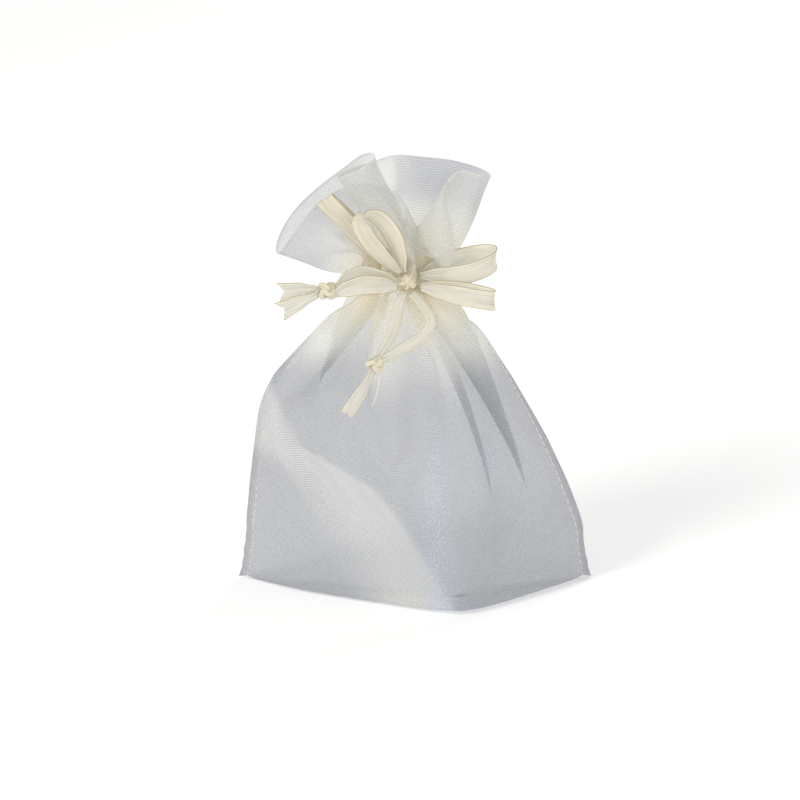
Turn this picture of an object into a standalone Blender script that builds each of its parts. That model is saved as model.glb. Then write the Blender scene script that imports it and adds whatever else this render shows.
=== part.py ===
"""Drawstring gift pouch: sheer cloth bag, gathered at a casing and tied with ribbon in a bow.

Metres, +Z up. The pouch stands on its folded floor, its front towards -Y. The origin is the
middle of its bounding box on the surface it stands on.
"""
import math

import bmesh
import bpy
from mathutils import Vector

MM = 0.001

# Cloth and thread
CLOTH = 0.8 * MM            # thickness of a cloth shell
GAP = 0.35 * MM             # clearance between neighbours
SEAM_WIDTH = 3.3 * MM       # folded seam allowance outside its stitch line
RUFFLE_SEAM_WIDTH = 1.6 * MM
CORNER_CLEAR = 1.3 * MM     # from the middle of a panel's edge to the side seam's strip
THREAD = 0.3 * MM           # radius of a stitching row
RIBBON = 5.4 * MM           # ribbon width
RIBBON_THICK = 0.6 * MM
RIBBON_ROOT = 2.2 * MM      # ribbon width where a knot bunches it

# Overall
NECK_X = -4.0 * MM          # the neck stands left of the middle
CASING_LOW = 89.0 * MM
CASING_HIGH = 96.0 * MM
CASING_HALF = (10.5 * MM, 7.7 * MM)   # outer half width and half depth of the gathered casing
RUN_INSET = 0.8 * MM        # the drawstrings stop this far inside the casing's edges
STITCH_INSET = 0.6 * MM     # and its stitching lies this far inside them
SIDE_OPENING = math.radians(12)       # half angle of the gap where a drawstring comes out
RUFFLE_LOW = 98.4 * MM
RUFFLE_SWELL = 0.6 * MM     # how far the ruffle's cloth bows out between its foot and its lip
RUFFLE_FOOT_INSET = 0.8 * MM          # the ruffle's foot inside the casing's outer face
RUFFLE_STEPS = 6            # divisions of the ruffle, foot to lip
KNOT = Vector((-2.0, -10.6, 95.4)) * MM
LEFT_KNOT = Vector((-23.3, -14.0, 94.0)) * MM
LOWER_KNOT = Vector((-10.3, -17.0, 74.4)) * MM
KNOT_RADII = (2.3 * MM, 1.7 * MM, 2.3 * MM)
LEFT_KNOT_RADII = (2.4 * MM, 2.1 * MM, 2.3 * MM)
LOWER_KNOT_RADII = (2.4 * MM, 2.0 * MM, 2.3 * MM)
LEAD_ANGLES = {"right_drawstring_lead": (4, 62), "left_drawstring_lead": (176, 122)}

COLUMNS = 24                # divisions across one panel

# The bag's outline, floor to neck: height, left edge, right edge, y of the side seams,
# bulge to the front, bulge to the back, and how far right the front bulge leans (1 is none).
BAG_ROWS = [
    (0.4, -43.2, 43.2, 8.5, 25.6, -4.0, 1.5),
    (4.0, -43.0, 42.9, 8.2, 25.3, 0.5, 1.5),
    (12.0, -42.2, 41.5, 7.4, 24.1, 5.0, 1.45),
    (27.0, -40.5, 38.0, 5.9, 21.2, 10.5, 1.3),
    (43.0, -38.3, 31.1, 4.4, 18.0, 12.7, 1.2),
    (57.0, -35.3, 23.8, 3.0, 15.2, 13.0, 1.1),
    (68.0, -27.5, 17.8, 1.9, 12.8, 11.8, 1.0),
    (77.0, -21.5, 13.0, 1.0, 10.2, 9.8, 1.0),
    (83.0, -17.0, 9.4, 0.4, 8.2, 8.2, 1.0),
    (87.0, -14.4, 6.4, 0.0, 7.0, 7.0, 1.0),
]
FLOOR_SEAM_BULGE = 17.0     # how far forward the bottom seam curves, in millimetres
FLOOR_SEAM_LEAN = 1.5
SEAM_CLEAR = 2.1            # floor cloth stops this far from the middle of the bottom seam
FLOOR_TURN = 1.4            # least width of the floor cloth beside the seam
CORNER_OPEN = 0.6           # half the opening between the panels where they meet a side seam
FLOOR_OPEN = 2.9            # and how much more of it there is at the floor
FLOOR_OPEN_HEIGHT = 12.0

# The ruffle's top edges, left corner to right corner: x, y, z
FRONT_LIP = [(-38.6, -9.2, 103.6), (-31, -8.8, 112), (-20, -7.2, 119.6), (-12, -6.4, 120.6),
             (-5, -6.2, 116), (4, -5.2, 114), (14, -3.2, 118), (21.2, 0.8, 120.6)]
BACK_LIP = [(-38.6, -7.6, 104.4), (-34, -1, 109.5), (-28, 4, 115.5), (-18, 7, 121.6),
            (-8.6, 8.2, 124.9), (4, 8.2, 122.6), (16, 7.4, 123.2), (21.4, 2.6, 121.4)]

IVORY = (0.83, 0.78, 0.66)
SHEER = (0.62, 0.64, 0.68)
CREAM = (0.86, 0.80, 0.62)


def mm(*xyz):
    return Vector(xyz) * MM


def clear_scene():
    for obj in list(bpy.data.objects):
        bpy.data.objects.remove(obj, do_unlink=True)


def material(name, colour, roughness):
    mat = bpy.data.materials.new(name)
    mat.use_nodes = True
    shader = mat.node_tree.nodes["Principled BSDF"]
    shader.inputs["Base Color"].default_value = (*colour, 1.0)
    shader.inputs["Roughness"].default_value = roughness
    return mat


def add_mesh(name, verts, faces, colour, roughness=0.8):
    """Make one named object from points and faces, with its faces pointing out."""
    mesh = bpy.data.meshes.new(name)
    mesh.from_pydata([tuple(v) for v in verts], [], faces)
    bm = bmesh.new()
    bm.from_mesh(mesh)
    bmesh.ops.recalc_face_normals(bm, faces=bm.faces)
    bm.to_mesh(mesh)
    bm.free()
    obj = bpy.data.objects.new(name, mesh)
    obj.data.materials.append(material(name, colour, roughness))
    bpy.context.collection.objects.link(obj)
    return obj


def grid_faces(rows, cols, wrap=False):
    """Quads of a grid of points listed row by row."""
    faces = []
    for j in range(rows - 1):
        for i in range(cols if wrap else cols - 1):
            k = (i + 1) % cols
            faces.append((j * cols + i, j * cols + k, (j + 1) * cols + k, (j + 1) * cols + i))
    return faces


def strip_normal(rows, j, i):
    """Normal at column i of the cloth between rows j and j + 1."""
    last = len(rows[0]) - 1
    left, right = max(i - 1, 0), min(i + 1, last)
    along = rows[j][right] - rows[j][left] + rows[j + 1][right] - rows[j + 1][left]
    return along.cross(rows[j + 1][i] - rows[j][i]).normalized()


def cloth_shell(name, rows, colour):
    """A cloth shell of even thickness about the surface through rows of points.

    Each point moves half the thickness to both sides along the mitre of the strips of cloth
    below and above it, so that a fold keeps both of its faces flat.
    """
    cols, last = len(rows[0]), len(rows) - 2
    sides = ([], [])
    for j, row in enumerate(rows):
        for i, p in enumerate(row):
            below = strip_normal(rows, max(j - 1, 0), i)
            above = strip_normal(rows, min(j, last), i)
            mitre = (below + above) / (1.0 + below.dot(above)) * CLOTH / 2
            sides[0].append(p + mitre)
            sides[1].append(p - mitre)
    size = len(sides[0])
    faces = grid_faces(len(rows), cols)
    faces += [tuple(v + size for v in reversed(quad)) for quad in faces]
    rim = list(range(cols)) + [j * cols + cols - 1 for j in range(1, len(rows))]
    rim += list(range(size - 2, size - cols - 1, -1)) + [j * cols for j in range(last, 0, -1)]
    faces += [(a, b, b + size, a + size) for a, b in zip(rim, rim[1:] + rim[:1])]
    return add_mesh(name, sides[0] + sides[1], faces, colour)


def bulge(t, lean, power=0.85):
    """Rounded profile across a panel, 0 at both edges; a lean above 1 moves its top right."""
    return math.sin(math.pi * min(1.0, t) ** lean) ** power


def across(x_left, x_right, t):
    """x at share t of the way across, with points crowded towards the edges."""
    return x_left + (x_right - x_left) * (1.0 - math.cos(math.pi * t)) / 2.0


def floor_seam_y(t):
    """y of the bottom seam on the floor."""
    return BAG_ROWS[0][3] - FLOOR_SEAM_BULGE * bulge(t, FLOOR_SEAM_LEAN)


def panel_rows(side):
    """Rows of points of the front (side -1) or back (side 1) panel, bottom seam to neck."""
    shares = [i / COLUMNS for i in range(COLUMNS + 1)]
    z0, left, right = BAG_ROWS[0][:3]
    floor_edge = [floor_seam_y(t) + side * SEAM_CLEAR for t in shares]
    rows = [[mm(across(left, right, t), y, z0) for t, y in zip(shares, floor_edge)]]
    for z, left, right, seam_y, front, back, lean in BAG_ROWS:
        corner = CORNER_OPEN + FLOOR_OPEN * math.exp(-(z / FLOOR_OPEN_HEIGHT) ** 2)
        row = []
        for t, edge in zip(shares, floor_edge):
            reach = front * bulge(t, lean) if side < 0 else back * bulge(t, 1.0)
            reach += corner * (1.0 - bulge(t, 1.0))
            if z == z0:
                reach = max(reach, side * (edge - seam_y) + FLOOR_TURN)
            row.append(mm(across(left, right, t), seam_y + side * reach, z))
        rows.append(row)
    return rows


def side_seam_rows(side):
    """Inner and outer edges of the left (side -1) or right (side 1) seam strip."""
    edge = []
    for z, left, right, seam_y, _, _, _ in BAG_ROWS[:-1]:
        x = left if side < 0 else right
        inner = mm(x, seam_y, z) + Vector((side * CORNER_CLEAR, 0, 0))
        edge.append((inner, inner + Vector((side * SEAM_WIDTH, 0, 0))))
    return [[pair[0] for pair in edge], [pair[1] for pair in edge]]


def bottom_seam_rows():
    """The two long edges of the bottom seam's strip, lying on the floor."""
    shares = [0.06 + 0.88 * i / COLUMNS for i in range(COLUMNS + 1)]
    z, left, right = BAG_ROWS[0][:3]
    middle = [mm(across(left, right, t), floor_seam_y(t), z) for t in shares]
    half = Vector((0, SEAM_WIDTH / 2, 0))
    return [[p - half for p in middle], [p + half for p in middle]]


def ellipse_ring(half_x, half_y, z, count=32, start=0.0, turn=2 * math.pi):
    closed = abs(turn - 2 * math.pi) < 1e-6
    steps = count if closed else count - 1
    return [Vector((NECK_X + half_x * math.cos(start + turn * i / steps),
                    half_y * math.sin(start + turn * i / steps), z)) for i in range(count)]


def tube_wall(name, inner_half, outer_half, low, high, colour, sector=None):
    """An upright oval wall, all the way round or over a sector of it."""
    args = {} if sector is None else {"start": sector[0], "turn": sector[1]}
    rings = [ellipse_ring(*half, z, **args) for half, z in
             ((inner_half, low), (outer_half, low), (outer_half, high), (inner_half, high))]
    count = len(rings[0])
    verts = [p for ring in rings for p in ring]
    faces = []
    for r in range(4):
        for i in range(count if sector is None else count - 1):
            k = (i + 1) % count
            s = (r + 1) % 4
            faces.append((r * count + i, r * count + k, s * count + k, s * count + i))
    if sector is not None:
        faces.append(tuple(r * count for r in range(4)))
        faces.append(tuple(r * count + count - 1 for r in range(4)))
    return add_mesh(name, verts, faces, colour)


def smooth_route(points, count):
    """Points spaced along a Catmull-Rom curve through the given ones."""
    ends = [points[0] * 2 - points[1]] + list(points) + [points[-1] * 2 - points[-2]]
    route = []
    spans = len(points) - 1
    for n in range(count):
        s = n * spans / (count - 1)
        k = min(int(s), spans - 1)
        u = s - k
        a, b, c, d = ends[k:k + 4]
        route.append(0.5 * (2 * b + (c - a) * u + (2 * a - 5 * b + 4 * c - d) * u * u
                            + (3 * b - 3 * c + d - a) * u ** 3))
    return route


def ribbon(name, points, face_side, widths, colour=CREAM, count=14):
    """A flat ribbon along a curve; face_side is its width's direction, widths root to end."""
    route = smooth_route(points, count)
    verts = []
    for n, p in enumerate(route):
        ahead = route[min(n + 1, count - 1)] - route[max(n - 1, 0)]
        wide = (face_side - ahead * face_side.dot(ahead) / ahead.length_squared).normalized()
        thick = ahead.normalized().cross(wide) * RIBBON_THICK / 2
        share = n / (count - 1) * (len(widths) - 1)
        k = min(int(share), len(widths) - 2)
        wide = wide * (widths[k] + (widths[k + 1] - widths[k]) * (share - k)) / 2
        verts += [p - wide - thick, p + wide - thick, p + wide + thick, p - wide + thick]
    faces = [tuple(range(4)), tuple(range(4 * count - 4, 4 * count))]
    faces += [(4 * n + a, 4 * n + b, 4 * n + 4 + b, 4 * n + 4 + a)
              for n in range(count - 1) for a, b in ((0, 1), (1, 2), (2, 3), (3, 0))]
    return add_mesh(name, verts, faces, colour, 0.6)


def bow_loop(name, root, tip, face_side, open_side, spread, colour=CREAM):
    """A ribbon loop: out from root to tip and back, its two runs spread along open_side."""
    out = open_side * spread
    near = open_side * 0.45 * MM
    along = tip - root
    points = [root + near, root + along * 0.45 + out, root + along * 0.9 + out * 0.9, tip,
              root + along * 0.9 - out * 0.9, root + along * 0.45 - out, root - near]
    widths = [RIBBON_ROOT, RIBBON, RIBBON, RIBBON, RIBBON, RIBBON, RIBBON_ROOT]
    return ribbon(name, points, face_side, widths, colour, 31)


def knot(name, centre, radii, turn=0.0):
    """A tied knot's outer shape: a rounded lump with a waist where the ribbon crosses it."""
    rings, sides = 9, 14
    verts = [Vector((0, 0, -1))]
    for j in range(1, rings):
        lat = -math.pi / 2 + math.pi * j / rings
        waist = 1.0 - 0.10 * math.exp(-(math.sin(lat) / 0.35) ** 2)
        verts += [Vector((math.cos(lat) * math.cos(2 * math.pi * i / sides) * waist,
                          math.cos(lat) * math.sin(2 * math.pi * i / sides) * waist,
                          math.sin(lat))) for i in range(sides)]
    verts.append(Vector((0, 0, 1)))
    top = len(verts) - 1
    faces = [(0, 1 + (i + 1) % sides, 1 + i) for i in range(sides)]
    faces += [tuple(1 + v for v in quad) for quad in grid_faces(rings - 1, sides, wrap=True)]
    faces += [(top, top - sides + i, top - sides + (i + 1) % sides) for i in range(sides)]
    obj = add_mesh(name, [Vector((v.x * radii[0], v.y * radii[1], v.z * radii[2]))
                          for v in verts], faces, IVORY)
    obj.data.shade_smooth()
    obj.location = centre
    obj.rotation_euler.y = turn
    return obj


def thread(name, points, radius, closed, count):
    """A round thread as a curve with filled caps."""
    curve = bpy.data.curves.new(name, "CURVE")
    curve.dimensions = "3D"
    curve.bevel_depth = radius
    curve.bevel_resolution = 2
    curve.use_fill_caps = True
    spline = curve.splines.new("POLY")
    route = points if closed else smooth_route(points, count)
    spline.points.add(len(route) - 1)
    for point, place in zip(spline.points, route):
        point.co = (*place, 1.0)
    spline.use_cyclic_u = closed
    obj = bpy.data.objects.new(name, curve)
    obj.data.materials.append(material(name, IVORY, 0.6))
    bpy.context.collection.objects.link(obj)
    return obj


def bag():
    cloth_shell("front_panel", panel_rows(-1), SHEER)
    cloth_shell("back_panel", panel_rows(1), SHEER)
    cloth_shell("left_side_seam", side_seam_rows(-1), IVORY)
    cloth_shell("right_side_seam", side_seam_rows(1), IVORY)
    cloth_shell("bottom_seam", bottom_seam_rows(), IVORY)


def casing():
    """Two cloth walls round the neck, with the two drawstrings lying between them."""
    half_x, half_y = CASING_HALF
    walls = []
    for thick in (CLOTH, RIBBON_THICK, RIBBON_THICK, CLOTH):
        walls.append(((half_x - thick, half_y - thick), (half_x, half_y)))
        half_x -= thick + GAP
        half_y -= thick + GAP
    run_low = CASING_LOW + RUN_INSET
    run_high = CASING_HIGH - RUN_INSET
    tube_wall("casing_outer", *walls[0], CASING_LOW, CASING_HIGH, IVORY)
    tube_wall("casing_inner", *walls[3], CASING_LOW, CASING_HIGH, IVORY)
    turn = 2 * math.pi - 2 * SIDE_OPENING
    tube_wall("drawstring_run_right", *walls[1], run_low, run_high, CREAM, (SIDE_OPENING, turn))
    tube_wall("drawstring_run_left", *walls[2], run_low, run_high, CREAM,
              (math.pi + SIDE_OPENING, turn))
    ring = [half + THREAD + GAP for half in CASING_HALF]
    for name, height in (("upper", CASING_HIGH - STITCH_INSET), ("lower", CASING_LOW + STITCH_INSET)):
        thread(f"casing_stitching_{name}", ellipse_ring(*ring, height), THREAD, True, 0)


def lip_curve(lip, count=COLUMNS + 1):
    return smooth_route([mm(*p) for p in lip], count)


def ruffle_rows(side, lip):
    """Rows of points from the gathered foot of the ruffle to its lip."""
    half_x, half_y = (half - RUFFLE_FOOT_INSET for half in CASING_HALF)
    top = lip_curve(lip)
    foot = []
    for i in range(COLUMNS + 1):
        angle = math.pi * (1 - i / COLUMNS)
        y = side * max(half_y * math.sin(angle), CORNER_OPEN * MM)
        foot.append(Vector((NECK_X + half_x * math.cos(angle), y, RUFFLE_LOW)))
    rows = []
    for j in range(RUFFLE_STEPS + 1):
        u = j / RUFFLE_STEPS
        swell = Vector((0, side * RUFFLE_SWELL * math.sin(math.pi * u), 0))
        rows.append([a.lerp(b, u) + swell * math.sin(math.pi * i / COLUMNS)
                     for i, (a, b) in enumerate(zip(foot, top))])
    return rows


def ruffle_seam(name, side):
    """The strip of side seam between the ruffle's front and back, beyond their edges."""
    index, inside = (0, 3) if side < 0 else (COLUMNS, COLUMNS - 3)
    pairs = list(zip(ruffle_rows(-1, FRONT_LIP), ruffle_rows(1, BACK_LIP)))
    edge = [(front[index] + back[index]) / 2 for front, back in pairs]
    inner, outer = [], []
    for j in range(1, len(pairs)):
        along = (edge[j] - edge[j - 1]).normalized()
        out = edge[j] - (pairs[j][0][inside] + pairs[j][1][inside]) / 2
        out = (out - along * out.dot(along)).normalized()
        inner.append(edge[j] + out * CORNER_CLEAR)
        outer.append(inner[-1] + out * RUFFLE_SEAM_WIDTH)
    cloth_shell(name, [inner, outer], IVORY)


def ruffle():
    cloth_shell("ruffle_front", ruffle_rows(-1, FRONT_LIP), SHEER)
    cloth_shell("ruffle_back", ruffle_rows(1, BACK_LIP), SHEER)
    ruffle_seam("ruffle_left_seam", -1)
    ruffle_seam("ruffle_right_seam", 1)


def leads():
    """The ribbons' runs from the casing's side openings round the front to the bow."""
    half_x = CASING_HALF[0] + RIBBON_THICK / 2 + GAP
    half_y = CASING_HALF[1] + RIBBON_THICK / 2 + GAP
    upright = Vector((0, 0, 1))
    middle = (CASING_LOW + CASING_HIGH) / 2
    for name, (first, last) in LEAD_ANGLES.items():
        points = []
        for n in range(8):
            angle = math.radians(first + (last - first) * n / 7)
            points.append(Vector((NECK_X + half_x * math.cos(angle), -half_y * math.sin(angle),
                                  middle)))
        ribbon(name, points, upright, [4.6 * MM, 4.6 * MM, 4.2 * MM, 3.4 * MM], CREAM, 12)


def bow():
    knot("bow_knot", KNOT, KNOT_RADII, 0.5)
    depth = Vector((0, 1, 0))
    across_tall = Vector((0.74, 0, 0.67))
    bow_loop("tall_loop", mm(-4.6, -9.7, 97.6), mm(-23.6, -10.4, 118.4), across_tall, depth,
             1.1 * MM)
    across_short = Vector((0.64, -0.40, 0.66))
    open_short = Vector((0.86, 0.12, 0.50))
    bow_loop("short_loop", mm(-3.4, -12.5, 98.6), mm(-12.6, -15.9, 116.0), across_short,
             open_short, 2.6 * MM)
    upright = Vector((0, 0, 1))
    bow_loop("right_loop_front", mm(1.5, -12.0, 94.2), mm(20.8, -15.8, 92.4), upright, depth,
             1.4 * MM)
    bow_loop("right_loop_back", mm(1.1, -9.7, 96.6), mm(20.8, -8.6, 101.6), upright, depth,
             2.8 * MM)


def left_tail():
    upright = Vector((0, 0, 1))
    root_to_knot = [RIBBON_ROOT, 4.6 * MM, RIBBON, 4.4 * MM, 2.4 * MM]
    ribbon("left_tail_upper", [mm(-4.9, -12.2, 95.6), mm(-9, -13.2, 97), mm(-14, -13.6, 98.2),
                               mm(-18, -13.6, 96.8), mm(-20.6, -13.5, 94.9)], upright,
           root_to_knot)
    ribbon("left_tail_lower", [mm(-4.7, -13.1, 94.5), mm(-9, -14.2, 95.6), mm(-14, -14.7, 95.8),
                               mm(-18, -14.7, 94.6), mm(-20.5, -14.5, 93.4)], upright,
           root_to_knot)
    knot("left_end_knot", LEFT_KNOT, LEFT_KNOT_RADII, 0.3)
    tip_widths = [2.2 * MM, 4.2 * MM, RIBBON]
    ribbon("left_tip_upper", [mm(-26.2, -13.8, 94.2), mm(-30, -14.0, 94.2),
                              mm(-35, -14.2, 93.6)], upright, tip_widths, count=8)
    ribbon("left_tip_lower", [mm(-26.1, -14.8, 92.9), mm(-30, -15.1, 91.2),
                              mm(-34.8, -15.3, 88.8)], upright, tip_widths, count=8)


def hanging_tail():
    sideways = Vector((1, 0, 0))
    strand = [2.0 * MM, 2.8 * MM, 3.2 * MM, 2.8 * MM, 2.0 * MM]
    ribbon("hanging_tail_inner", [mm(-3.0, -11.6, 92.6), mm(-4.2, -13.2, 89),
                                  mm(-5.4, -14.8, 84.5), mm(-7, -15.9, 80.6),
                                  mm(-9, -16.6, 77.3)], sideways, strand)
    ribbon("hanging_tail_outer", [mm(-0.9, -12.2, 92.4), mm(2.4, -13.8, 89.2),
                                  mm(4.3, -15, 85.4), mm(1.6, -15.9, 81.4),
                                  mm(-3.4, -16.5, 78.4), mm(-6.9, -16.9, 76.4)], sideways,
           strand, count=18)
    knot("lower_end_knot", LOWER_KNOT, LOWER_KNOT_RADII, -0.5)
    ribbon("hanging_tip", [mm(-11.6, -17.3, 71.8), mm(-14, -17.8, 66.8), mm(-18, -18.4, 60.4)],
           Vector((0.85, 0, -0.5)), [2.2 * MM, 3.6 * MM, 3.8 * MM], count=9)
    thread("loose_thread", [mm(-9.4, -17.4, 71.5), mm(-9.8, -17.8, 67.4), mm(-11.2, -18, 62.6)],
           0.25 * MM, False, 8)


clear_scene()
bag()
casing()
ruffle()
leads()
bow()
left_tail()
hanging_tail()
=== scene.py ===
"""Looks of the drawstring gift pouch: sheer cloth, pleats, ribbon bow and its stitching.

Metres, +Z up, the pouch's front towards -Y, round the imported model's frame.
"""

import math

import bpy
import numpy as np
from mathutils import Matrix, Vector


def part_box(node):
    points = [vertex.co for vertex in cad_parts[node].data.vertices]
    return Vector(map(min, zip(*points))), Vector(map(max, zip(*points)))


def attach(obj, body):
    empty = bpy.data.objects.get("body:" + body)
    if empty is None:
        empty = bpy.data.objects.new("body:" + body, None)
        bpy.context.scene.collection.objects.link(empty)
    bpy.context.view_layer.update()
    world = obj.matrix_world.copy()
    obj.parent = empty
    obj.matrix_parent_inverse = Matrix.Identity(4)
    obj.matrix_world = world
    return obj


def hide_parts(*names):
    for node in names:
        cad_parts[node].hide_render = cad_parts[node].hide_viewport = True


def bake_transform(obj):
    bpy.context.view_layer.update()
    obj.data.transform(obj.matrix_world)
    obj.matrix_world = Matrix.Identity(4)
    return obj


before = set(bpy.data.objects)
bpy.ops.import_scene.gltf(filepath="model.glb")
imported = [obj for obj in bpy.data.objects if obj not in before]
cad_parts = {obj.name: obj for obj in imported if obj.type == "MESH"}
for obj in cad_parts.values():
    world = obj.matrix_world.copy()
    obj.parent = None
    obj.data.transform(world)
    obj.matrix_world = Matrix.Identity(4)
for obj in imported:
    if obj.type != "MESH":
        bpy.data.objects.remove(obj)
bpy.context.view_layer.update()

MM = 0.001

# ---------------------------------------------------------------- places, from the frame
CASING_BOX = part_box("casing_outer")
CASING_LOW, CASING_HIGH = CASING_BOX[0].z, CASING_BOX[1].z
NECK = (CASING_BOX[0] + CASING_BOX[1]) / 2
NECK_HALF = (CASING_BOX[1] - CASING_BOX[0]) / 2


BOW_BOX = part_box("bow_knot")
KNOT = (BOW_BOX[0] + BOW_BOX[1]) / 2

# ---------------------------------------------------------------- sizes
RIBBON = 5.4 * MM
RIBBON_THICK = 0.22 * MM
SHEET_WIDTH = 100.0 * MM     # the pouch laid flat
BODY = 102.0 * MM            # cloth from the bottom fold to the casing
CASING = 7.0 * MM
RUFFLE = 30.5 * MM           # cloth above the casing
COLUMNS = 160                # points round the tube of cloth
CASING_ROWS = 7              # rows of cloth up the casing
SEWN = 2                     # columns each side of a side seam that are sewn flat
STITCH_PITCH = 2.4 * MM
STITCH_RADIUS = 0.11 * MM
STITCH_PROUD = 0.25 * MM     # how far the casing's stitches stand outside its pleats
STITCH_INSET = 0.7 * MM      # the casing's stitches from its edges
STITCHED_SHARE = 0.8         # how far up the bag its side stitches can be told apart
DRAWSTRING_WRAP = 336.0      # degrees of the casing that a drawstring fills


def mm(*xyz):
    """A place given in millimetres."""
    return Vector(xyz) * MM


# ---------------------------------------------------------------- camera, floor and light
def set_camera():
    """A long lens, looking at the front from 25 degrees above the floor."""
    elevation = math.radians(25)
    target = Vector((NECK.x, 0, 56.0 * MM))
    lens, sensor, view_width = 500.0, 36.0, 210.7 * MM
    distance = view_width * lens / sensor
    cam = bpy.data.cameras.new("camera")
    cam.lens = lens
    cam.sensor_width = sensor
    cam.clip_end = 20
    obj = bpy.data.objects.new("camera", cam)
    obj.location = target + Vector((0, -math.cos(elevation), math.sin(elevation))) * distance
    obj.rotation_euler = (math.pi / 2 - elevation, 0, 0)
    bpy.context.scene.collection.objects.link(obj)
    bpy.context.scene.camera = obj


def link(obj):
    """Put an object into the scene."""
    bpy.context.scene.collection.objects.link(obj)
    return obj


def area_light(name, place, target, size, power, colour):
    """A round soft light that points at a place and isn't seen itself."""
    lamp = bpy.data.lights.new(name, "AREA")
    lamp.shape = "DISK"
    lamp.size = size
    lamp.energy = power
    lamp.color = colour
    obj = link(bpy.data.objects.new(name, lamp))
    obj.location = place
    obj.rotation_euler = (target - Vector(place)).to_track_quat("-Z", "Y").to_euler()
    obj.visible_camera = False


def set_stage():
    """The plain pale floor, the studio's lights and its even surroundings."""
    scene = bpy.context.scene
    scene.view_settings.view_transform = "Standard"
    scene.cycles.transparent_max_bounces = 40
    world = bpy.data.worlds.new("studio")
    scene.world = world
    world.use_nodes = True
    back = world.node_tree.nodes["Background"]
    back.inputs["Color"].default_value = (0.97, 0.98, 1.0, 1)
    back.inputs["Strength"].default_value = 0.48
    area_light("key", (-0.70, -0.55, 0.80), mm(-4, 0, 60), 0.45, 6.6, (1.0, 0.985, 0.94))
    area_light("front", (0.65, -0.80, 0.42), mm(-4, 0, 60), 0.35, 2.8, (1.0, 0.985, 0.95))
    area_light("rim", (0.5, 0.60, 0.75), mm(-4, 0, 80), 0.4, 2.8, (1.0, 0.98, 0.93))
    mesh = bpy.data.meshes.new("floor")
    reach = 6.0
    mesh.from_pydata([(-reach, -reach, 0), (reach, -reach, 0), (reach, reach, 0),
                      (-reach, reach, 0)], [], [(0, 1, 2, 3)])
    floor = link(bpy.data.objects.new("floor", mesh))
    white, shader = new_material("floor_white")
    shader.inputs["Base Color"].default_value = (0.93, 0.93, 0.93, 1)
    shader.inputs["Roughness"].default_value = 1.0
    shader.inputs["Specular IOR Level"].default_value = 0.0
    shader.inputs["Emission Color"].default_value = (1, 1, 1, 1)
    shader.inputs["Emission Strength"].default_value = 0.16
    floor.data.materials.append(white)


# ---------------------------------------------------------------- material helpers
def new_material(name):
    """A node material and its surface shader."""
    mat = bpy.data.materials.new(name)
    mat.use_nodes = True
    return mat, mat.node_tree.nodes["Principled BSDF"]


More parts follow.
